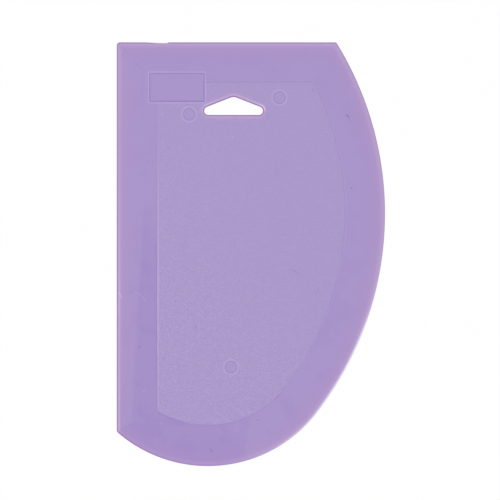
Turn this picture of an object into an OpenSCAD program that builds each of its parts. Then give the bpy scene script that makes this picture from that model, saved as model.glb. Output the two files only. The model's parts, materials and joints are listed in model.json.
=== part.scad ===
/* [Outline] */
// Length of the scraper along its straight side
length = 190.5; // [176:0.5:220]
// Width from the straight side to the widest point of the curve
width = 120.6; // [112:0.2:135]
// Radius of the long curve down the right side
belly_r = 146; // [138:1:170]
// Radius of the tighter curve round the lower end
nose_r = 62; // [52:1:72]
// Height of the widest point above the lower end
belly_y = 113.5; // [104:0.5:120]
// Radius of the corner between the straight side and the top edge
top_left_r = 1.4; // [0.8:0.1:4]
// Radius of the corner between the top edge and the long curve
top_right_r = 0.8; // [0.6:0.1:4]
// Radius of the corner between the straight side and the tighter curve
low_left_r = 1.8; // [0.8:0.1:4]

/* [Blade] */
// Thickness of the flat land inside the blade
land_t = 2; // [1.6:0.1:3]
// Thickness at the rim, where the blade ends
rim_t = 1; // [0.7:0.05:1.4]
// Width over which the blade thins from the land to the rim
blade_w = 11.8; // [6:0.2:13]
// Width of the chamfer that takes the sharpness off the rim
rim_break = 0.3; // [0.1:0.05:0.5]

/* [Grip panel] */
// Distance from the outline in to the raised grip panel
panel_inset = 17.95; // [16:0.05:22]
// How far the grip panel sits to the right of true
panel_right = 0.25; // [0:0.05:1]
// How far the grip panel sits above true
panel_up = 0.38; // [0:0.02:1]
// Height of the grip panel above the land
panel_h = 0.2; // [0.1:0.05:0.5]
// Width of the sloping wall round the grip panel
panel_wall = 0.3; // [0.1:0.05:0.6]
// Radius of the corners of the grip panel
panel_r = 1.6; // [0.6:0.1:5]

/* [Hanging hole] */
// Width of the hanging hole
hole_w = 26.4; // [20:0.2:34]
// Height of the hanging hole
hole_h = 8.1; // [7:0.1:12]
// Distance from the straight side to the middle of the hole
hole_x = 52.5; // [45:0.5:62]
// Distance from the top edge down to the flat side of the hole
hole_drop = 32.7; // [31:0.1:45]
// Radius of the two ends of the hole
hole_end_r = 1.9; // [1:0.1:2.6]
// Radius at the peak of the hole
hole_peak_r = 3.6; // [1:0.1:5]
// Width of the chamfer round the mouth of the hole
hole_lip = 0.4; // [0.1:0.05:0.6]

/* [Mould marks] */
// Width of the bare label recess
label_w = 24.6; // [15:0.1:30]
// Height of the label recess
label_h = 12.9; // [8:0.1:16]
// Distance from the straight side to the label recess
label_x = 14.8; // [13.2:0.1:20]
// Distance from the top edge to the label recess
label_drop = 14; // [13.2:0.1:20]
// Depth of the label recess below the land
label_depth = 0.15; // [0.05:0.05:0.4]
// Diameter of the marks that the ejector pins leave
ejector_d = 5.5; // [4:0.1:8]
// Depth of the ejector marks
ejector_depth = 0.15; // [0.05:0.05:0.3]
// Distance from the straight side to the start of the trimmed gate scar
gate_x = 11.6; // [8:0.1:30]
// Length of the gate scar along the top edge
gate_w = 11.5; // [10:0.1:20]
// Length over which the gate scar deepens
gate_ramp = 9; // [2:0.1:9.5]
// Depth that the trimming took off the top edge
gate_depth = 0.35; // [0.1:0.05:0.8]

/* [Hidden] */
$fn = 180;
lilac = "#aa97ca";
// How far a cut runs past the face that it cuts
over = 1;
// Step too small to see, which keeps faces from meeting too nearly
hair = 0.02;
// How far the cuts round the outline reach out, well past the corners of the blank
waste = width;

// Centres of the two curves, and how far below level they run into each other
belly_c = [width - belly_r, belly_y];
curve_gap = belly_r - nose_r;
turn = asin((belly_y - nose_r) / curve_gap);
nose_c = belly_c + curve_gap * [cos(turn), -sin(turn)];

// Height of the grip panel's face
panel_t = land_t + panel_h;

// Section profiles, from the wall to past the upper face, each point as its
// distance out from the wall and its height
blade_slope = (land_t - rim_t) / blade_w;
function blade_profile(break_w) = [
    [0, rim_t - rim_break],
    [-break_w, rim_t + break_w * blade_slope],
    [-blade_w - over / blade_slope, land_t + over]
];
panel_profile = [[panel_wall, land_t - panel_h], [-panel_wall * (1 + over / panel_h), panel_t + over]];

// Corners of the hanging hole round from its left end, each as centre and radius,
// measured from the middle of its flat side
hole_end_x = hole_w / 2 - hole_end_r;
hole_corners = [
    [-hole_end_x, hole_end_r, hole_end_r],
    [hole_end_x, hole_end_r, hole_end_r],
    [0, hole_h - hole_peak_r, hole_peak_r]
];

// Ejector marks, each as its distance from the straight side and from the top
ejector_places = [[32.55, 32.4], [73.1, 24.9], [51.4, 145.9]];

// Unit vector that points along an angle
function heading(angle) = [cos(angle), sin(angle)];

// Centre of a rounded corner
function flat(corner) = [corner.x, corner.y];

// Way that the straight side from one rounded corner to the next one faces
function facing(a, b) =
    let (run = flat(b) - flat(a)) atan2(run.y, run.x) - 90 + asin((a[2] - b[2]) / norm(run));

// What is cut away outside a wall that stands at reach, seen in section
module waste_section(reach, profile) {
    foot = reach + profile[0].x;
    top = profile[len(profile) - 1].y;
    polygon([
        [foot, -over], [reach + waste, -over], [reach + waste, top],
        for (i = [len(profile) - 1:-1:0]) profile[i] + [reach, 0]
    ]);
}

// Cut along a straight side, from one of its ends
module straight_cut(from, side_facing, run, profile) {
    translate([from.x, from.y, 0]) rotate([90, 0, side_facing]) linear_extrude(run)
        waste_section(0, profile);
}

// Cut along the curved side, where the long curve runs into the tighter one.
// Both sweeps start from the line through their centres, so they meet exactly.
module curved_cut(inset, profile) {
    sweep = 120;
    translate([belly_c.x, belly_c.y, 0]) rotate([0, 0, -turn]) {
        rotate_extrude(angle = sweep) waste_section(belly_r - inset, profile);
        translate([curve_gap, 0, 0]) rotate_extrude(start = -sweep, angle = sweep)
            waste_section(nose_r - inset, profile);
    }
}

// Cut that rounds a corner, between the ways that its two sides face. Its circle
// reaches a hair past those sides, so that they cross cleanly.
module corner_cut(centre, r, from, to) {
    half = (to - from) / 2;
    far = 2 * r;
    translate([centre.x, centre.y, -over]) linear_extrude(panel_t + 2 * over) difference() {
        polygon([[0, 0], far * heading(from), far / cos(half) * heading(from + half), far * heading(to)]);
        circle(r + hair);
    }
}

// A slab with the scraper's outline, drawn in by inset, and with its own edge
// along the straight sides and along the curve
module slab(inset, base, top, straight_profile, curved_profile, left_r, right_r, low_r) {
    left_c = [inset + left_r, length - inset - left_r];
    // The right corner lies inside the long curve, and the low one inside the tighter curve
    right_rise = length - inset - right_r - belly_c.y;
    right_run = sqrt(pow(belly_r - inset - right_r, 2) - pow(right_rise, 2));
    low_run = nose_c.x - inset - low_r;
    low_fall = sqrt(pow(nose_r - inset - low_r, 2) - pow(low_run, 2));
    difference() {
        difference() {
            translate([0, 0, base]) cube([width, length, top - base]);
            straight_cut([inset, -over], 180, length + 2 * over, straight_profile);
            straight_cut([-over, length - inset], 90, width + 2 * over, straight_profile);
            curved_cut(inset, curved_profile);
        }
        corner_cut(left_c, left_r, 90, 180);
        corner_cut(belly_c + [right_run, right_rise], right_r, atan2(right_rise, right_run), 90);
        corner_cut(nose_c - [low_run, low_fall], low_r, 180, 180 + atan2(low_fall, low_run));
    }
}

// The hanging hole, with the chamfer round its mouth. Its straight sides stand a
// hair inside the rounded corners, so that they cross cleanly.
module hanging_hole() {
    count = len(hole_corners);
    inner = hole_end_r / 2;
    ways = [for (i = [0:count - 1]) facing(hole_corners[i], hole_corners[(i + 1) % count])];
    // Both ends of each straight side
    sides = [for (i = [0:count - 1])
        let (a = hole_corners[i], b = hole_corners[(i + 1) % count])
        [flat(a) + (a[2] - hair) * heading(ways[i]), flat(b) + (b[2] - hair) * heading(ways[i])]];
    translate([hole_x, length - hole_drop, -over]) {
        linear_extrude(panel_t + 2 * over) polygon([for (side = sides) each side]);
        for (corner = hole_corners) translate(flat(corner)) cylinder(r = corner[2], h = panel_t + 2 * over);
    }
    translate([hole_x, length - hole_drop, panel_t - hole_lip]) {
        for (corner = hole_corners) translate(flat(corner))
            cylinder(r1 = corner[2], r2 = corner[2] + hole_lip + over, h = hole_lip + over);
        for (i = [0:count - 1])
            translate(sides[i][1]) rotate([90, 0, ways[i]]) linear_extrude(norm(sides[i][1] - sides[i][0]))
                polygon([[-inner, 0], [0, 0], [hole_lip + over, hole_lip + over], [-inner, hole_lip + over]]);
    }
}

// Shallow recess for a label, left bare, which runs off one corner of the grip panel
module label_recess() {
    translate([label_x, length - label_drop - label_h, land_t - label_depth])
        cube([label_w, label_h, panel_h + label_depth + over]);
}

// Round marks of the pins that push the scraper out of its mould
module ejector_marks() {
    for (place = ejector_places)
        translate([place.x, length - place.y, panel_t - ejector_depth])
            cylinder(d = ejector_d, h = ejector_depth + over);
}

// Scar on the top edge where the gate was trimmed off, deeper towards its right end
module gate_scar() {
    translate([gate_x, length, -over]) linear_extrude(land_t + 2 * over)
        polygon([[0, over], [0, 0], [gate_ramp, -gate_depth], [gate_w, -gate_depth], [gate_w, over]]);
}

// The whole scraper, one moulding, face up, with its flat back at height 0
module scraper() {
    color(lilac) translate([-width / 2, -length / 2, 0]) difference() {
        union() {
            // The chamfer is a hair wider round the curve, so that its mitres stay clean
            slab(0, 0, land_t, blade_profile(rim_break), blade_profile(rim_break + hair),
                top_left_r, top_right_r, low_left_r);
            translate([panel_right, panel_up, 0])
                slab(panel_inset, land_t / 2, panel_t, panel_profile, panel_profile, panel_r, panel_r, panel_r);
        }
        hanging_hole();
        label_recess();
        ejector_marks();
        gate_scar();
    }
}

scraper();
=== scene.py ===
import json
import math

import bpy
import numpy as np
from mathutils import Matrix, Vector
from mathutils.geometry import delaunay_2d_cdt


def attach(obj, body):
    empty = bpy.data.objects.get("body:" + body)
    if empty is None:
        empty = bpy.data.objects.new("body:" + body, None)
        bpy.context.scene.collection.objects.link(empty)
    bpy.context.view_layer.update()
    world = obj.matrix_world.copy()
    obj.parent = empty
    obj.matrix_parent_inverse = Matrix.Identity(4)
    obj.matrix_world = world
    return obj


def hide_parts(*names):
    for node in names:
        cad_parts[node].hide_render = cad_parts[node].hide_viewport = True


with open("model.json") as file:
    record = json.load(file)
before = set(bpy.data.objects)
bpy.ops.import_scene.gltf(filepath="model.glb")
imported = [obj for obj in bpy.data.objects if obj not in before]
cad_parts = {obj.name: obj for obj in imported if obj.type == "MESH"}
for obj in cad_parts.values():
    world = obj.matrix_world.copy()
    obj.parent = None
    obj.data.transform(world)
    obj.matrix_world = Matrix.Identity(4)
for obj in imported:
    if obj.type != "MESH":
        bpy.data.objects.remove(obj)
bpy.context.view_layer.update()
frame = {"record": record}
print("frame loaded")

# Sizes are in millimetres, measured from the straight side and from the lower end.
mm = 0.001
width, length, height = (side / mm for side in frame["record"]["size"]["bbox_m"])

outline = {
    "bellyR": 146.0,          # long curve down the right side
    "noseR": 62.0,            # tighter curve round the lower end
    "bellyY": 113.5,          # height of the widest point
    "cornerR": (1.4, 0.8, 1.8),   # top left, top right, low left
    "gate": (11.6, 20.6, 23.1),   # trimmed gate: start, full depth, end
    "gateEnd": 0.5,           # length over which its end rises again
    "gateDepth": 0.35,
    "gateFade": 2.0,          # how far in the trimmed edge is felt
    "gatePoints": 5,          # over its end
    "pointStep": 1.6,         # between points along the rim
    "leastStep": 0.02,        # points closer together than this are left out
    "cornerPoints": 8,
    "bellyTurn": 1.2,         # about how far each curve turns, in radians, for its number of points
    "noseTurn": 1.7,
}
section = {
    "rimT": 1.0,              # thickness at the rim
    "landT": 2.0,             # thickness of the land inside the blade
    "bladeSlope": 5.0,        # from the rim, the blade thickens evenly this far in
    "bladeEnd": 12.2,         # and then less and less up to here, where the land starts
    "rimRound": (0.85, 0.42),     # rounding of the upper rim: width, height
    "underRound": (0.3, 0.28),    # and of the lower one
    "panelInset": 17.95,      # from the rim to the grip panel
    "panelOffset": (0.25, 0.38),  # how far it sits to the right and up
    "panelR": 1.6,
    "panelWall": 0.8,         # width of its sloping wall
}
hole = {
    "x": 52.5,                # middle, from the straight side
    "drop": 32.7,             # flat side, from the top edge
    "wide": 26.4,
    "high": 8.1,
    "endR": 1.9,
    "peakR": 3.6,
    "lip": (0.6, 0.5),        # rounding of its mouth: width, height
    "cornerStep": 0.25,       # between points round its corners
    "sideStep": 1.0,          # and along its sides
    "middle": 0.37,           # height of its middle above the flat side, as a share of its own height
}
label = {
    "x": 14.8,                # left wall, from the straight side
    "drop": 14.0,             # upper wall, from the top edge
    "wide": 24.6,
    "high": 12.7,
    "floor": 1.85,            # height of its floor above the back
    "wall": 0.34,             # width of its sloping wall
    "cornerPoints": 6,
}
ejector = {
    "places": [(32.55, 32.4), (73.1, 24.9), (51.4, 145.9)],   # from the straight side, from the top
    "r": 2.75,
    "depth": 0.13,
    "wall": 0.4,              # width of its sloping wall
    "points": 43,
}

bellyC = np.array([width - outline["bellyR"], outline["bellyY"]])
centreGap = outline["bellyR"] - outline["noseR"]
seamTurn = math.asin((outline["bellyY"] - outline["noseR"]) / centreGap)
noseC = bellyC + centreGap * np.array([math.cos(seamTurn), -math.sin(seamTurn)])


def heading(angle):
    return np.stack([np.cos(angle), np.sin(angle)], axis=-1)


def smoothStep(t):
    t = np.clip(t, 0.0, 1.0)
    return t * t * (3.0 - 2.0 * t)


def softBump(t):
    return np.maximum(0.0, 1.0 - t * t) ** 2   # 1 at 0, and none past -1 and 1


def edgeRise(distance, wide, high):
    t = np.clip(distance / wide, 0.0, 1.0)
    return high * np.sqrt(1.0 - (1.0 - t) ** 2)   # quarter ellipse up from a free edge


# Corners of the outline, as centre and the two ways that their sides face
def outlineCorners(radii):
    topLeft, topRight, lowLeft = radii
    rise = length - topRight - bellyC[1]
    run = math.sqrt((outline["bellyR"] - topRight) ** 2 - rise ** 2)
    over = noseC[0] - lowLeft
    fall = math.sqrt((outline["noseR"] - lowLeft) ** 2 - over ** 2)
    return [
        (np.array([topLeft, length - topLeft]), math.pi / 2, math.pi),
        (bellyC + [run, rise], math.atan2(rise, run), math.pi / 2),
        (noseC - [over, fall], math.pi, math.pi + math.atan2(fall, over)),
    ]


# Depth that the trimming took off the top edge
def gateNotch(x):
    start, full, end = outline["gate"]
    share = smoothStep((x - start) / (full - start))
    return outline["gateDepth"] * share * smoothStep((end - x) / outline["gateEnd"])


def pointsOver(run, step):
    return max(2, int(math.ceil(run / step)) + 1)


def arc(centre, radius, start, end, count):
    return centre + radius * heading(np.linspace(start, end, count))


# One ring round the scraper, at a distance in from the rim. radii are the corner radii at the rim.
# The rings have their points at like places, so that neighbours line up.
def outlineRing(inset, radii, notched=False):
    held = [max(radius, inset) for radius in radii]
    left, right, low = outlineCorners(held)
    step, cornerCount = outline["pointStep"], outline["cornerPoints"]
    level = length - inset
    top = np.linspace((right[0][0], level), (left[0][0], level), pointsOver(width, step))
    if notched:
        start, full, end = outline["gate"]
        rise = np.linspace(end - outline["gateEnd"], end, outline["gatePoints"])
        extra = [[x, level] for x in (start, full, *rise)]
        top = np.vstack([top, extra])
        top = top[np.argsort(-top[:, 0])]
        fade = max(0.0, 1.0 - inset / outline["gateFade"])
        top[:, 1] -= gateNotch(top[:, 0]) * fade
    noseCount = pointsOver(outline["noseTurn"] * outline["noseR"], step)
    bellyCount = pointsOver(outline["bellyTurn"] * outline["bellyR"], step)
    parts = [
        arc(noseC, outline["noseR"] - inset, low[2], 2 * math.pi - seamTurn, noseCount),
        arc(bellyC, outline["bellyR"] - inset, -seamTurn, right[1], bellyCount),
        arc(right[0], held[1] - inset, right[1], right[2], cornerCount),
        top,
        arc(left[0], held[0] - inset, left[1], left[2], cornerCount),
        np.linspace((inset, left[0][1]), (inset, low[0][1]), pointsOver(length, step)),
        arc(low[0], held[2] - inset, low[1], low[2], cornerCount),
    ]
    points = np.vstack(parts)
    gaps = np.linalg.norm(points - np.roll(points, 1, axis=0), axis=1)
    return points[gaps > outline["leastStep"]]


# How far in from the rim each point lies
def insetOf(points, radii, notched=False):
    x, y = points[:, 0], points[:, 1]
    top = length - y
    if notched:
        notch = gateNotch(x)
        near = (top - notch) / (1.0 - notch / outline["gateFade"])
        top = np.where(near < outline["gateFade"], near, top)
    fromBelly, fromNose = points - bellyC, points - noseC
    below = fromNose @ np.array([math.sin(seamTurn), math.cos(seamTurn)]) < 0.0
    curve = np.where(
        below,
        outline["noseR"] - np.linalg.norm(fromNose, axis=1),
        outline["bellyR"] - np.linalg.norm(fromBelly, axis=1),
    )
    inset = np.minimum(np.minimum(x, top), curve)
    if notched:
        return inset
    for radius, (centre, start, end) in zip(radii, outlineCorners(radii)):
        away = points - centre
        turn = (np.arctan2(away[:, 1], away[:, 0]) - start) % (2 * math.pi)
        inset = np.where(turn < end - start, radius - np.linalg.norm(away, axis=1), inset)
    return inset


# The same, with the rim drawn in where the gate is trimmed off
def fromRim(points):
    plain = insetOf(points, outline["cornerR"])
    return np.minimum(plain, insetOf(points, outline["cornerR"], notched=True))


# Corners of the hanging hole round from its left end, as centre and radius
holeBase = np.array([hole["x"], length - hole["drop"]])
holeEnd = hole["wide"] / 2 - hole["endR"]
holeCorners = [
    (holeBase + [-holeEnd, hole["endR"]], hole["endR"]),
    (holeBase + [holeEnd, hole["endR"]], hole["endR"]),
    (holeBase + [0.0, hole["high"] - hole["peakR"]], hole["peakR"]),
]


def sideFacing(a, b):
    run = b[0] - a[0]
    return math.atan2(run[1], run[0]) - math.pi / 2 + math.asin((a[1] - b[1]) / np.linalg.norm(run))


nextCorners = holeCorners[1:] + holeCorners[:1]
holeWays = [sideFacing(corner, after) for corner, after in zip(holeCorners, nextCorners)]


def holeRing(outset):
    parts = []
    for i, (centre, radius) in enumerate(holeCorners):
        before, after = holeWays[i - 1], holeWays[i]
        sweep = (after - before) % (2 * math.pi)
        cornerCount = pointsOver(sweep * radius, hole["cornerStep"])
        parts.append(arc(centre, radius + outset, before, before + sweep, cornerCount))
        nextCentre, nextRadius = nextCorners[i]
        way = heading(after)
        start, end = centre + (radius + outset) * way, nextCentre + (nextRadius + outset) * way
        parts.append(np.linspace(start, end, pointsOver(hole["wide"] / 2, hole["sideStep"]))[1:-1])
    return np.vstack(parts)


# How far outside the hole's wall each point lies
def outsideHole(points):
    planes = [(points - c) @ heading(way) - r for (c, r), way in zip(holeCorners, holeWays)]
    outside = np.max(planes, axis=0)
    for i, (centre, radius) in enumerate(holeCorners):
        before, after = holeWays[i - 1], holeWays[i]
        away = points - centre
        turn = (np.arctan2(away[:, 1], away[:, 0]) - before) % (2 * math.pi)
        onCorner = turn < (after - before) % (2 * math.pi)
        outside = np.where(onCorner, np.linalg.norm(away, axis=1) - radius, outside)
    return outside


labelHalf = np.array([label["wide"], label["high"]]) / 2
labelC = np.array([label["x"], length - label["drop"] - label["high"]]) + labelHalf


def outsideLabel(points):
    past = np.abs(points - labelC) - labelHalf
    outer = np.linalg.norm(np.maximum(past, 0.0), axis=1)
    return outer + np.minimum(np.max(past, axis=1), 0.0)


def labelRing(outset):
    half = labelHalf + min(outset, 0.0)
    parts = []
    for turn, sign in enumerate([(1, 1), (-1, 1), (-1, -1), (1, -1)]):
        start = turn * math.pi / 2
        end = start + math.pi / 2
        parts.append(arc(labelC + half * sign, max(outset, 0.0), start, end, label["cornerPoints"]))
    return np.vstack(parts)


ejectorCentres = [np.array([x, length - drop]) for x, drop in ejector["places"]]


def outsideEjectors(points):
    return np.min([np.linalg.norm(points - c, axis=1) for c in ejectorCentres], axis=0) - ejector["r"]


def ejectorRing(centre, outset):
    return arc(centre, ejector["r"] + outset, 0.0, 2 * math.pi, ejector["points"] + 1)[:-1]


# Small marks of use and of the mould. Each has its start and end, from the straight side and from
# the top, its half width, and its tone from -1 for palest to 1 for darkest.
marks = [
    ((8.7, 10.1), (9.3, 10.0), 0.2, 0.3),
    ((2.6, 15.4), (2.7, 15.4), 0.18, 0.25),
    ((5.9, 8.2), (5.9, 8.2), 0.2, 0.25),
    ((3.1, 5.2), (2.0, 6.5), 0.12, 0.2),
    ((3.7, 24.5), (3.9, 24.5), 0.18, 0.2),
    ((70.1, 11.5), (71.2, 12.6), 0.14, 0.16),
    ((72.3, 13.6), (72.6, 13.8), 0.14, 0.14),
    ((14.0, 53.5), (14.1, 53.6), 0.22, 0.3),
    ((23.6, 47.6), (23.8, 47.6), 0.18, 0.4),
    ((88.3, 21.6), (88.4, 21.7), 0.2, 0.35),
    ((98.4, 43.5), (98.5, 43.6), 0.24, 0.25),
    ((103.2, 32.7), (103.9, 33.2), 0.38, 0.3),
    ((103.9, 33.2), (104.4, 34.4), 0.3, 0.28),
    ((104.9, 35.0), (105.1, 35.8), 0.18, 0.22),
    ((105.4, 65.5), (105.6, 65.6), 0.26, 0.6),
    ((78.6, 102.2), (79.0, 102.3), 0.15, 0.25),
    ((79.4, 102.9), (79.6, 103.0), 0.15, 0.25),
    ((80.1, 102.5), (80.4, 102.9), 0.15, 0.3),
    ((80.9, 103.4), (81.1, 103.5), 0.15, 0.25),
    ((80.3, 104.0), (80.5, 104.1), 0.14, 0.2),
    ((81.4, 103.9), (81.8, 104.2), 0.15, 0.25),
    ((68.4, 101.5), (68.5, 101.5), 0.2, 0.3),
    ((67.9, 103.8), (68.0, 103.8), 0.2, 0.3),
    ((90.4, 111.4), (90.5, 111.4), 0.18, 0.55),
    ((35.3, 127.9), (35.4, 127.9), 0.18, 0.75),
    ((6.4, 112.0), (7.0, 112.6), 0.15, 0.2),
    ((22.3, 160.7), (22.5, 160.8), 0.16, 0.25),
    ((13.7, 179.9), (13.9, 180.0), 0.18, 0.2),
    ((26.5, 116.3), (26.6, 116.3), 0.16, 0.45),
    ((10.0, 137.2), (10.3, 136.7), 0.26, 0.3),
    ((63.4, 169.5), (63.4, 169.7), 0.22, 0.6),
    ((61.5, 176.3), (61.6, 176.4), 0.22, 0.2),
    ((42.1, 182.8), (42.9, 183.9), 0.26, 0.35),
    ((91.7, 151.3), (91.9, 151.4), 0.2, 0.2),
    ((99.8, 139.7), (99.9, 139.8), 0.2, 0.2),
    ((51.9, 42.5), (52.1, 42.6), 0.2, -0.6),
    ((82.7, 56.5), (83.7, 57.0), 0.12, -0.2),
    ((12.2, 156.8), (12.3, 156.8), 0.24, -0.5),
    ((19.8, 171.2), (20.0, 171.5), 0.22, -0.3),
    ((59.4, 166.0), (59.4, 166.2), 0.2, -0.5),
    ((80.0, 158.5), (80.2, 158.7), 0.2, -0.2),
    ((67.9, 172.4), (68.0, 172.5), 0.2, -0.2),
    ((8.3, 112.2), (10.6, 113.4), 0.12, -0.15),
    ((10.6, 113.4), (12.2, 115.0), 0.12, -0.2),
    ((12.2, 115.0), (13.1, 116.8), 0.12, -0.2),
    ((1.1, 112.2), (2.2, 114.9), 0.12, -0.6),
    ((17.7, 176.0), (17.7, 181.5), 0.08, -0.1),
    ((47.2, 173.2), (49.5, 176.7), 0.1, 0.08),
    ((81.7, 88.2), (82.4, 87.2), 0.12, -0.2),
    ((95.2, 72.6), (96.0, 75.2), 0.1, -0.12),
    ((105.5, 25.3), (105.6, 25.4), 0.15, -0.3),
    ((114.9, 51.6), (114.9, 51.7), 0.14, -0.25),
    ((106.4, 115.5), (106.5, 115.6), 0.14, -0.25),
    ((37.6, 29.6), (36.6, 32.4), 0.1, -0.12),
    ((38.3, 30.4), (37.4, 32.8), 0.1, -0.1),
    ((38.0, 33.2), (38.2, 33.5), 0.14, -0.25),
    ((34.2, 30.0), (34.4, 30.2), 0.14, -0.25),
]
markShape = {
    "blur": 0.22,             # width over which a mark fades out
    "core": 0.5,              # share of its half width that has its full tone
    "depth": 0.02,
    "endPoints": 5,           # round each of its ends
}


def markLine(start, end):
    return [np.array([x, length - drop]) for x, drop in (start, end)]


def fromMark(points, start, end):
    start, end = markLine(start, end)
    run = end - start
    along = np.clip((points - start) @ run / max(run @ run, 1e-9), 0.0, 1.0)   # a mere spot has no run
    return np.linalg.norm(points - start - along[:, None] * run, axis=1)


def markRing(start, end, outset):
    start, end = markLine(start, end)
    run = end - start
    side = math.atan2(run[1], run[0]) + math.pi / 2
    ends = [(start, side), (end, side + math.pi)]
    return np.vstack([arc(c, outset, a, a + math.pi, markShape["endPoints"]) for c, a in ends])


def markTones(points):
    total = np.zeros(len(points))
    for start, end, half, tone in marks:
        fade = half * (1.0 - markShape["core"]) + markShape["blur"]
        near = smoothStep((half + markShape["blur"] - fromMark(points, start, end)) / fade)
        total += tone * near
    return np.clip(total, -1.0, 1.0)


panelRadii = (section["panelInset"] + section["panelR"],) * 3   # at the rim, as the rings need them
panelH = height - section["landT"]


def insidePanel(points):
    return insetOf(points - section["panelOffset"], panelRadii) - section["panelInset"]


def recessed(outside, wall):
    return 1.0 - smoothStep(outside / wall + 0.5)   # 1 on the floor of a recess, 0 past its wall


# Height of the upper side
def topHeight(points):
    plain = insetOf(points, outline["cornerR"])
    fade = section["bladeEnd"] - section["bladeSlope"]
    past = np.clip(plain - section["bladeSlope"], 0.0, fade)
    rise = np.minimum(plain, section["bladeEnd"]) - past * past / (2 * fade)
    fullRise = section["bladeSlope"] + fade / 2
    z = section["rimT"] + (section["landT"] - section["rimT"]) * rise / fullRise
    z += panelH * smoothStep(insidePanel(points) / section["panelWall"])
    inLabel = recessed(outsideLabel(points), label["wall"])
    z += (label["floor"] - z) * inLabel
    z -= ejector["depth"] * recessed(outsideEjectors(points), ejector["wall"])
    roundWide, roundHigh = section["rimRound"]
    z -= roundHigh - edgeRise(fromRim(points), roundWide, roundHigh)
    lipWide, lipHigh = hole["lip"]
    z -= lipHigh - edgeRise(outsideHole(points), lipWide, lipHigh)
    z -= markShape["depth"] * np.abs(markTones(points))
    return z


def underHeight(points):
    wide, high = section["underRound"]
    return sum(high - edgeRise(away, wide, high) for away in (fromRim(points), outsideHole(points)))


meshing = {
    "weld": 1e-5,             # points closer than this become one
    "slack": 0.003,           # how far a triangle's middle may lie outside the scraper
    "step": 0.004,            # to measure slopes, and to tell which points lie on an edge
}


# Triangles between the rings, and none outside the rim or in the hole
def meshedRings(rings):
    points, edges = [], []
    for ring in rings:
        first = len(points)
        points += [Vector(p) for p in ring]
        edges += [(first + i, first + (i + 1) % len(ring)) for i in range(len(ring))]
    vertices, _, faces, *_ = delaunay_2d_cdt(points, edges, [], 0, meshing["weld"])
    flat = np.array([v[:] for v in vertices])
    triangles = np.array([f for f in faces if len(f) == 3])
    middles = flat[triangles].mean(axis=1)
    kept = (fromRim(middles) > -meshing["slack"]) & (outsideHole(middles) > -meshing["slack"])
    return flat, triangles[kept]


# How fast a value grows to the right and upwards
def slopeOf(points, valueAt):
    step = meshing["step"]
    right = valueAt(points + [step, 0.0]) - valueAt(points - [step, 0.0])
    up = valueAt(points + [0.0, step]) - valueAt(points - [0.0, step])
    return np.column_stack([right, up]) / (2 * step)


def unitLength(normals):
    return normals / np.linalg.norm(normals, axis=1)[:, None]


def sideNormals(points, heightAt, upwards):
    return unitLength(np.column_stack([-slopeOf(points, heightAt), np.ones(len(points))]) * upwards)


def wallNormals(points, distanceAt):
    return unitLength(np.column_stack([-slopeOf(points, distanceAt), np.zeros(len(points))]))


# Places of the rings of points, each from the edge or wall that it follows
ringPlaces = {
    "rim": [0.0, 0.03, 0.1, 0.2, 0.32, 0.45, 0.58, 0.72, 0.88, 1.05, 1.25, 1.5, 1.8, 2.2, 2.8, 3.6,
            4.8, 5.8, 6.4, 7.0, 7.6, 8.2, 8.8, 9.8, 10.8, 11.4, 11.8, 12.2, 12.8, 14.2, 16.0],
    "panel": [-0.9, -0.5, -0.3, -0.15, 0.0, 0.12, 0.24, 0.36, 0.48, 0.6, 0.72, 0.84, 1.0, 1.3, 1.8],
    "recess": [-1.0, -0.7, -0.5, -0.35, -0.22, -0.1, 0.0, 0.1, 0.22, 0.35, 0.5, 0.7, 1.0],
    "hole": [0.0, 0.03, 0.1, 0.2, 0.32, 0.45, 0.6, 0.78, 1.0, 1.3, 1.7, 2.3, 3.2],
    "under": [0.0, 0.03, 0.1, 0.2, 0.32],
}

topRings = [outlineRing(inset, outline["cornerR"], notched=True) for inset in ringPlaces["rim"]]
topRings += [
    outlineRing(section["panelInset"] + inset, panelRadii) + section["panelOffset"]
    for inset in ringPlaces["panel"]
]
topRings += [holeRing(outset) for outset in ringPlaces["hole"]]
topRings += [labelRing(outset) for outset in ringPlaces["recess"]]
for centre in ejectorCentres:
    topRings += [ejectorRing(centre, outset) for outset in ringPlaces["recess"]]
for start, end, half, _ in marks:
    topRings += [markRing(start, end, half * markShape["core"])]
    topRings += [markRing(start, end, half + markShape["blur"])]
underRings = [outlineRing(inset, outline["cornerR"], notched=True) for inset in ringPlaces["under"]]
underRings += [holeRing(outset) for outset in ringPlaces["under"]]

topFlat, topFaces = meshedRings(topRings)
underFlat, underFaces = meshedRings(underRings)
print("scraper surfaces meshed:", len(topFaces), "and", len(underFaces), "triangles")


def nearestIndex(flat, ring):
    return np.array([int(np.argmin(np.sum((flat - p) ** 2, axis=1))) for p in ring])


# The walls between the two sides, as a face between each two neighbours on both rims
def wallFaces(ring, outwards):
    tops = nearestIndex(topFlat, ring)
    unders = nearestIndex(underFlat, ring) + len(topFlat)
    faces = []
    for i in range(len(ring)):
        j = (i + 1) % len(ring)
        quad = [unders[i], unders[j], tops[j], tops[i]]
        faces.append(quad if outwards else quad[::-1])
    return faces


vertices = np.vstack([
    np.column_stack([topFlat, topHeight(topFlat)]),
    np.column_stack([underFlat, underHeight(underFlat)]),
])
faces = [tuple(f) for f in topFaces.tolist()]
faces += [tuple(f[::-1]) for f in (underFaces + len(topFlat)).tolist()]
faces += wallFaces(topRings[0], outwards=True)
faces += wallFaces(holeRing(0.0), outwards=False)

normals = np.vstack([
    sideNormals(topFlat, topHeight, 1.0),
    sideNormals(underFlat, underHeight, -1.0),
])
flatPlaces = np.vstack([topFlat, underFlat])
rimDistance, holeDistance = fromRim(flatPlaces), outsideHole(flatPlaces)
onRim, onHole = rimDistance < meshing["step"], holeDistance < meshing["step"]
normals[onRim] = wallNormals(flatPlaces[onRim], lambda p: insetOf(p, outline["cornerR"]))
normals[onHole] = wallNormals(flatPlaces[onHole], outsideHole)

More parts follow.
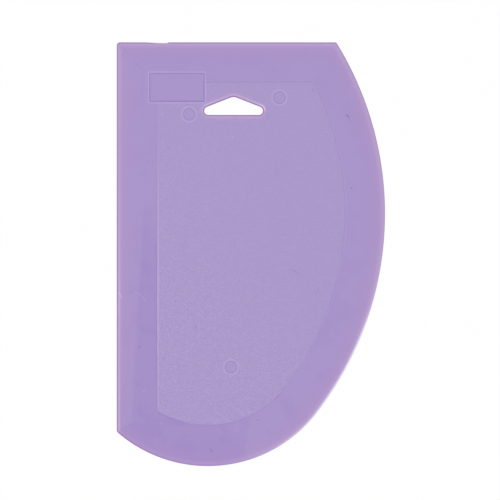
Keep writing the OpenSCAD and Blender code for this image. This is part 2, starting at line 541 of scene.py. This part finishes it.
vertices[:, 0] -= width / 2
vertices[:, 1] -= length / 2
scraperMesh = bpy.data.meshes.new("doughScraper")
scraperMesh.from_pydata((vertices * mm).tolist(), [], faces)
scraperMesh.validate()
scraperMesh.shade_smooth()
scraperMesh.normals_split_custom_set_from_vertices(normals.tolist())


def addValues(mesh, name, values):
    attribute = mesh.attributes.new(name, "FLOAT", "POINT")
    attribute.data.foreach_set("value", np.asarray(values, np.float32))


# What the material needs to know at each point. Distances are in mm and angles in degrees.
tones = {
    # distance in from a free edge, and strength there
    "rimGlow": [(0.0, 0.2), (0.45, 0.4), (0.8, 0.6), (1.2, 0.7), (1.6, 0.6), (2.1, 0.34), (2.8, 0.14),
                (5.0, 0.05), (8.0, 0.0)],
    "holeGlow": [(0.0, 0.2), (0.3, 0.45), (0.6, 0.75), (1.1, 0.75), (1.6, 0.5), (2.2, 0.25), (3.0, 0.0)],
    "bladePink": [(0.0, 0.75), (3.0, 0.7), (4.5, 0.5), (7.2, 0.42), (7.8, 0.1), (12.0, 0.0)],
    "edgeShade": [(0.0, 1.0), (0.44, 1.0), (0.66, 0.2), (0.82, 0.0)],
    "nearLight": [(0.0, 1.0), (0.5, 1.0), (0.65, 0.7), (0.85, 0.25), (1.1, 0.0)],
    "farLight": [(0.55, 0.0), (0.9, 1.0), (1.3, 1.0), (1.65, 0.0)],
    "holeShade": [(0.0, 0.7), (0.4, 0.7), (0.7, 0.0)],
    "holeLight": [(0.45, 0.0), (0.75, 1.0), (1.0, 1.0), (1.4, 0.0)],
    # angle round the scraper's middle, and strength there
    "shadeRound": [(-180, 1.0), (-133, 1.0), (-125, 0.7), (-110, 0.35), (-92, 0.15), (-85, 0.0),
                   (50, 0.05), (75, 0.5), (90, 0.9), (118, 0.8), (138, 0.5), (154, 0.8), (175, 1.0)],
    "shadeThin": [(60, 1.0), (80, 1.35), (122, 1.35), (135, 1.0)],   # how much thinner the shade is
    "glowRound": [(-160, 1.0), (-143, 0.8), (-134, 0.6), (-130, 0.3), (-125, 0.48), (-110, 0.6),
                  (-98, 0.82), (-85, 1.0), (50, 1.0), (70, 1.15), (120, 1.15), (140, 1.0)],
    "nearLightRound": [(-101, 0.0), (-92, 0.1), (-85, 0.22), (-79, 0.5), (-61, 0.88), (-38, 0.88),
                       (-24, 0.38), (-12, 0.25), (17, 0.12), (40, 0.13), (58, 0.08), (100, 0.08),
                       (115, 0.06), (130, 0.0)],
    "farLightRound": [(-180, 0.2), (-161, 0.32), (-143, 0.2), (-133, 0.36), (-127, 0.36), (-126, 0.0),
                      (145, 0.0), (154, 0.08), (180, 0.2)],
    "panelLightRound": [(-180, 0.38), (-161, 0.48), (-143, 0.4), (-130, 0.32), (-122, 0.16),
                        (-118, 0.0), (128, 0.0), (138, 0.14), (154, 0.3), (180, 0.38)],
    "panelDarkRound": [(-180, 0.4), (-161, 0.36), (-130, 0.32), (-115, 0.22), (-90, 0.1), (-70, -0.04),
                       (-30, -0.07), (60, -0.07), (110, -0.04), (130, 0.02), (154, 0.16), (180, 0.4)],
    # angle round the hole's middle, and strength there
    "holeLightRound": [(-180, 0.5), (-172, 0.2), (-150, 0.18), (-30, 0.18), (-8, 0.12), (-4, 0.7),
                       (0, 1.0), (7, 1.0), (10, 0.5), (30, 0.42), (80, 0.42), (100, 0.3), (150, 0.4),
                       (162, 0.5), (172, 0.7), (180, 0.5)],
    "holeGlowRound": [(-180, 0.1), (-170, 0.2), (-158, 1.0), (-22, 1.0), (-10, 0.4), (0, 0.2),
                      (14, 0.7), (24, 1.0), (158, 1.0), (170, 0.3), (180, 0.1)],
    # distance along the top edge, and how far the trimmed gate is felt there
    "gatePale": [(15.5, 0.0), (18.0, 1.0), (22.8, 1.0), (23.6, 0.0)],
    "gateShade": 0.8,         # share of the edge's shade that it takes away
    "gateGlint": 0.1,         # and the glint that it adds
    # strength of the painted highlight line outside a recess's wall, and of the painted shade line
    # inside
    "label": (0.25, 0.42),
    "ejector": (0.3, 0.4),
    # middle and half width of the painted highlight line and of the painted shade line, from the wall
    # inwards
    "recessLines": ((-0.54, 0.38), (0.17, 0.35)),
    "panelLines": ((-0.4, 0.4), (0.2, 0.36)),
    "panelLineGap": 1.6,      # the panel's own lines fade over this width at the label
    # waves round the inner edge of the pink band: how many, and how far they reach
    "wander": [(9, 0.5), (23, 0.35)],
    "wanderFrom": 6.0,        # distance in from the rim where they have their full reach
    "grainWay": (1.0, 0.8),   # way across which the grain's painted light and shade weakens, to the right and up
    "coarseGrain": [(85, 1.0), (120, 0.8), (145, 0.1)],   # distance that way, and strength there
    "ejectorGrain": 0.5,      # share of the grain missing on the ejector marks
    "dullPatchReach": [(0, 1.0), (60, 1.0), (110, 0.5), (190, 0.3)],   # distance up, and strength of the duller patches
}


def stepTone(inside, places, light, dark):
    (lightMiddle, lightHalf), (darkMiddle, darkHalf) = tones[places]
    lightLine = softBump((inside - lightMiddle) / lightHalf)
    return light * lightLine - dark * softBump((inside - darkMiddle) / darkHalf)


def toneAt(distance, name):
    return np.interp(distance, *zip(*tones[name]))


def anglesRound(points, middle):
    away = points - middle
    return np.degrees(np.arctan2(away[:, 1], away[:, 0]))


around = anglesRound(flatPlaces, [width / 2, length / 2])
aroundHole = anglesRound(flatPlaces, holeBase + [0.0, hole["high"] * hole["middle"]])
panelIn = insidePanel(flatPlaces)
labelOut, ejectorOut = outsideLabel(flatPlaces), outsideEjectors(flatPlaces)
upper = np.arange(len(flatPlaces)) < len(topFlat)
gatePale = toneAt(flatPlaces[:, 0], "gatePale") * (flatPlaces[:, 1] > length / 2)

rimGlow = toneAt(rimDistance, "rimGlow") * toneAt(around, "glowRound")
holeGlow = toneAt(holeDistance, "holeGlow") * toneAt(aroundHole, "holeGlowRound")
wander = sum(reach * np.sin(np.radians(around) * count + count) for count, reach in tones["wander"])
wander = wander * smoothStep(rimDistance / tones["wanderFrom"])

edgeShade = toneAt(rimDistance * toneAt(around, "shadeThin"), "edgeShade")
edgeShade *= toneAt(around, "shadeRound") * (1.0 - tones["gateShade"] * gatePale)
edgeShade += toneAt(holeDistance, "holeShade")
glint = toneAt(around, "nearLightRound") + tones["gateGlint"] * gatePale
glint = glint * toneAt(rimDistance, "nearLight")

grainy = smoothStep(panelIn / section["panelWall"])
grainy *= 1.0 - recessed(labelOut, label["wall"])
grainy *= 1.0 - tones["ejectorGrain"] * recessed(ejectorOut, ejector["wall"])
coarseGrain = toneAt(flatPlaces @ tones["grainWay"], "coarseGrain")

# Painted highlight and painted shade lines: outside and inside the walls of the label, the ejector marks
# and the panel, near the rim, and round the hole
lines = stepTone(-labelOut, "recessLines", *tones["label"])
lines += stepTone(-ejectorOut, "recessLines", *tones["ejector"])
panelLight, panelDark = toneAt(around, "panelLightRound"), toneAt(around, "panelDarkRound")
panelLines = stepTone(-panelIn, "panelLines", panelLight, panelDark)
lines += panelLines * (1.0 - recessed(labelOut, tones["panelLineGap"]))
lines += toneAt(rimDistance, "farLight") * toneAt(around, "farLightRound")
lines += toneAt(holeDistance, "holeLight") * toneAt(aroundHole, "holeLightRound")

pointValues = {
    "edgeGlow": np.maximum(rimGlow, holeGlow),
    "bladePink": toneAt(rimDistance + wander, "bladePink"),
    "edgeShade": edgeShade,
    "grainy": grainy * upper,
    "grainShading": grainy * upper * coarseGrain,
    "dullPatchReach": toneAt(flatPlaces[:, 1], "dullPatchReach") * upper,
    "glint": glint * upper,
    "lines": lines * upper,
    "marks": markTones(flatPlaces) * upper,
}
for name, values in pointValues.items():
    addValues(scraperMesh, name, values)

scraper = bpy.data.objects.new("doughScraper", scraperMesh)
bpy.context.scene.collection.objects.link(scraper)
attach(scraper, "root")
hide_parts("scraper")
print("scraper built:", len(vertices), "points")


# sRGB hex colour as linear light
def linearColour(hexCode):
    channels = [int(hexCode[i:i + 2], 16) / 255 for i in (1, 3, 5)]
    linear = [c / 12.92 if c <= 0.04045 else ((c + 0.055) / 1.055) ** 2.4 for c in channels]
    return linear + [1.0]


# One node with its settings, and with values or links in its sockets
def addNode(tree, kind, sockets=None, **settings):
    node = tree.nodes.new(kind)
    node.location = (len(tree.nodes) * 180, 0)   # side by side on the canvas
    for name, value in settings.items():
        setattr(node, name, value)
    for name, value in (sockets or {}).items():
        if isinstance(value, bpy.types.NodeSocket):
            tree.links.new(value, node.inputs[name])
        else:
            node.inputs[name].default_value = value
    return node


polypropylene = {
    "border": "#a691c8",
    "panel": "#ad9acd",           # the matt texture scatters more light, so it looks paler
    "bladePink": "#a88dc5",       # the blade is thinner than the rest, so more warm light comes through
    "edgeGlow": "#ba9fcd",        # a free edge, lit through from its side
    "edgeShade": "#9f72ad",       # rounding of an edge, where it turns away from the light
    "glint": "#e8dff3",           # and where it faces the light
    "grooveShade": "#8f74b9",     # painted shade: foot of a step, and the grain's hollows
    "ridgeLight": "#d8cae9",      # painted highlight: crest of a step, light lines near the rim and round the hole, and the grain's crests
    "speckDark": "#6a5a96",       # dark specks and scuffs
    "speckLight": "#d0c0e2",      # whitened scratches
    "ior": 1.49,                  # polypropylene
    "borderRoughness": 0.05,      # polished steel mould
    "panelRoughness": 0.52,       # spark-eroded steel mould
    "grainMm": 0.42,              # erosion grain is 0.1 to 0.3 mm, drawn coarser so that it shows
    "grainDeep": 0.2,             # its height in mm
    "grainShading": 0.43,            # painted highlight on its crests and painted shade in its hollows: how far crests are paler and hollows darker
    "waveMm": 14.0,               # shrinkage waves in the smooth border
    "waveDeep": 0.03,             # their height in mm
    "waveDetail": 3.0,
    "panelWave": 0.3,             # share of them that is left under the matt texture
    "dullPatch": "#9f89c6",            # duller, darker patches, strongest towards the lower end
    "dullPatchMm": 14.0,               # size of its patches
    "dullPatchDetail": 4.0,
    "dullPatchRough": 0.6,             # how ragged they are
    "dullPatchShare": 0.45,            # how much of this colour they have
    "dullPatchEdge": (0.5, 0.57),      # levels of the noise between which they fade in
}


# Injection-moulded polypropylene: smooth and glossy round the border, where it mirrors the lights
# with slight waves, and finely matt on the panel. Thin edges glow lighter and pinker.
def mouldedPolypropylene():
    material = bpy.data.materials.new("mouldedPolypropylene")
    material.use_nodes = True
    tree = material.node_tree
    shader = tree.nodes["Principled BSDF"]
    place = addNode(tree, "ShaderNodeTexCoord").outputs["Object"]
    shares = {
        name: addNode(tree, "ShaderNodeAttribute", attribute_name=name).outputs["Fac"]
        for name in pointValues
    }
    grain = addNode(tree, "ShaderNodeTexNoise", {
        "Vector": place,
        "Scale": 1.0 / (polypropylene["grainMm"] * mm),
        "Detail": 0.0,
    })
    # Painted highlight on the grain's crests and painted shade in its hollows
    relief = addNode(tree, "ShaderNodeMapRange", {
        "Value": grain.outputs["Fac"],
        "To Min": -polypropylene["grainShading"],
        "To Max": polypropylene["grainShading"],
    })
    grainShadingShare = addNode(tree, "ShaderNodeMath", {
        0: relief.outputs["Result"],
        1: shares["grainShading"],
    }, operation="MULTIPLY")
    shares["relief"] = grainShadingShare.outputs[0]

    patches = addNode(tree, "ShaderNodeTexNoise", {
        "Vector": place,
        "Scale": 1.0 / (polypropylene["dullPatchMm"] * mm),
        "Detail": polypropylene["dullPatchDetail"],
        "Roughness": polypropylene["dullPatchRough"],
    })
    dullPatch = addNode(tree, "ShaderNodeMapRange", {
        "Value": patches.outputs["Fac"],
        "From Min": polypropylene["dullPatchEdge"][0],
        "From Max": polypropylene["dullPatchEdge"][1],
        "To Max": polypropylene["dullPatchShare"],
    })
    dullPatchTint = addNode(tree, "ShaderNodeMath", {
        0: dullPatch.outputs["Result"],
        1: shares["dullPatchReach"],
    }, operation="MULTIPLY")
    shares["dullPatch"] = dullPatchTint.outputs[0]

    # Each layer covers the ones before it, from no share to a full one
    layers = [
        ("dullPatch", 1.0, "dullPatch"),
        ("grainy", 1.0, "panel"),
        ("relief", 1.0, "ridgeLight"),
        ("relief", -1.0, "grooveShade"),
        ("bladePink", 1.0, "bladePink"),
        ("edgeGlow", 1.0, "edgeGlow"),
        ("edgeShade", 1.0, "edgeShade"),
        ("glint", 1.0, "glint"),
        ("lines", -1.0, "grooveShade"),
        ("lines", 1.0, "ridgeLight"),
        ("marks", 1.0, "speckDark"),
        ("marks", -1.0, "speckLight"),
    ]
    colour = linearColour(polypropylene["border"])
    for shareName, full, name in layers:
        share = addNode(tree, "ShaderNodeMapRange", {"Value": shares[shareName], "From Max": full})
        layer = addNode(tree, "ShaderNodeMix", {
            0: share.outputs["Result"],
            6: colour,   # 6 and 7 are its two colours
            7: linearColour(polypropylene[name]),
        }, data_type="RGBA")
        colour = layer.outputs[2]
    tree.links.new(colour, shader.inputs["Base Color"])

    roughness = addNode(tree, "ShaderNodeMapRange", {
        "Value": shares["grainy"],
        "To Min": polypropylene["borderRoughness"],
        "To Max": polypropylene["panelRoughness"],
    })
    tree.links.new(roughness.outputs["Result"], shader.inputs["Roughness"])
    shader.inputs["IOR"].default_value = polypropylene["ior"]

    wave = addNode(tree, "ShaderNodeTexNoise", {
        "Vector": place,
        "Scale": 1.0 / (polypropylene["waveMm"] * mm),
        "Detail": polypropylene["waveDetail"],
    })
    waveShare = addNode(tree, "ShaderNodeMapRange", {
        "Value": shares["grainy"],
        "To Min": 1.0,
        "To Max": polypropylene["panelWave"],
    })
    waveBump = addNode(tree, "ShaderNodeBump", {
        "Height": wave.outputs["Fac"],
        "Strength": waveShare.outputs["Result"],
        "Distance": polypropylene["waveDeep"] * mm,
    })
    grainBump = addNode(tree, "ShaderNodeBump", {
        "Height": grain.outputs["Fac"],
        "Strength": shares["grainy"],
        "Distance": polypropylene["grainDeep"] * mm,
        "Normal": waveBump.outputs["Normal"],
    })
    tree.links.new(grainBump.outputs["Normal"], shader.inputs["Normal"])
    return material


scraperMesh.materials.append(mouldedPolypropylene())
print("polypropylene mixed")

# Sizes and places are in metres from here on
stage = {
    "floorSize": 3.0,
    "floorDrop": 0.00002,         # keeps the floor and the flat back off one plane
    "floorWhite": "#f2f2f2",
    "cameraWhite": 0.97,          # share of plain white that the camera sees
    "worldColour": "#f2efff",
    "worldStrength": 0.7875,
    # Softboxes: centre, size, turn about the vertical where level, strength as radiance, colour
    "lamps": {
        "overhead": ((0.499, 0.293, 1.7), (1.3, 1.62), 18.9, 0.62, "#ffffc4"),
        "leftHigh": ((-0.727, 0.107, 1.7), (1.0, 0.8), 33.5, 0.66, "#fffcc0"),
        "leftLow": ((-1.0, -0.2, 0.75), (0.6, 1.0), None, 1.4, "#ffffff"),
        "rightLow": ((1.2, -0.9, 0.6), (0.6, 0.8), None, 1.6, "#ffffff"),
    },
}


# White card under the scraper: matt, so that it keeps the shadow, and nearly plain white to the camera
def whiteCard():
    material = bpy.data.materials.new("mattWhiteCard")
    material.use_nodes = True
    tree = material.node_tree
    tree.nodes.remove(tree.nodes["Principled BSDF"])
    diffuse = addNode(tree, "ShaderNodeBsdfDiffuse", {"Color": linearColour(stage["floorWhite"])})
    white = addNode(tree, "ShaderNodeEmission", {"Strength": 1.0})
    path = addNode(tree, "ShaderNodeLightPath")
    share = addNode(tree, "ShaderNodeMath", {
        0: path.outputs["Is Camera Ray"],
        1: stage["cameraWhite"],
    }, operation="MULTIPLY")
    mix = addNode(tree, "ShaderNodeMixShader", {
        0: share.outputs[0],
        1: diffuse.outputs[0],
        2: white.outputs[0],
    })
    tree.links.new(mix.outputs[0], tree.nodes["Material Output"].inputs["Surface"])
    return material


floorMesh = bpy.data.meshes.new("floor")
reach, level = stage["floorSize"] / 2, -stage["floorDrop"]
corners = [(x * reach, y * reach, level) for x, y in ((-1, -1), (1, -1), (1, 1), (-1, 1))]
floorMesh.from_pydata(corners, [], [(0, 1, 2, 3)])
floorMesh.materials.append(whiteCard())
floor = bpy.data.objects.new("floor", floorMesh)
bpy.context.scene.collection.objects.link(floor)

world = bpy.data.worlds.new("studio")
world.use_nodes = True
background = world.node_tree.nodes["Background"]
background.inputs["Color"].default_value = linearColour(stage["worldColour"])
background.inputs["Strength"].default_value = stage["worldStrength"]
bpy.context.scene.world = world

for name, (centre, size, turn, radiance, colour) in stage["lamps"].items():
    lamp = bpy.data.lights.new(name, "AREA")
    lamp.shape = "RECTANGLE"
    lamp.size, lamp.size_y = size
    lamp.energy = radiance * math.pi * size[0] * size[1]
    lamp.color = linearColour(colour)[:3]
    holder = bpy.data.objects.new(name, lamp)
    holder.location = centre
    aimed = (-Vector(centre)).to_track_quat("-Z", "Y").to_euler()   # at the scraper
    holder.rotation_euler = aimed if turn is None else (0.0, 0.0, math.radians(turn))
    bpy.context.scene.collection.objects.link(holder)
print("stage lit")

view = {
    "centre": (-0.40 * mm, 1.90 * mm),   # what the middle of the picture shows
    "across": 224.51 * mm,               # what the picture spans
    "high": 1.4,
    "sensor": 36.0,                      # in mm
}
camera = bpy.data.cameras.new("camera")
camera.sensor_width = view["sensor"]
camera.lens = view["sensor"] * (view["high"] - section["landT"] * mm) / view["across"]
cameraHolder = bpy.data.objects.new("camera", camera)
cameraHolder.location = (*view["centre"], view["high"])
bpy.context.scene.collection.objects.link(cameraHolder)
bpy.context.scene.camera = cameraHolder
bpy.context.scene.view_settings.view_transform = "Standard"
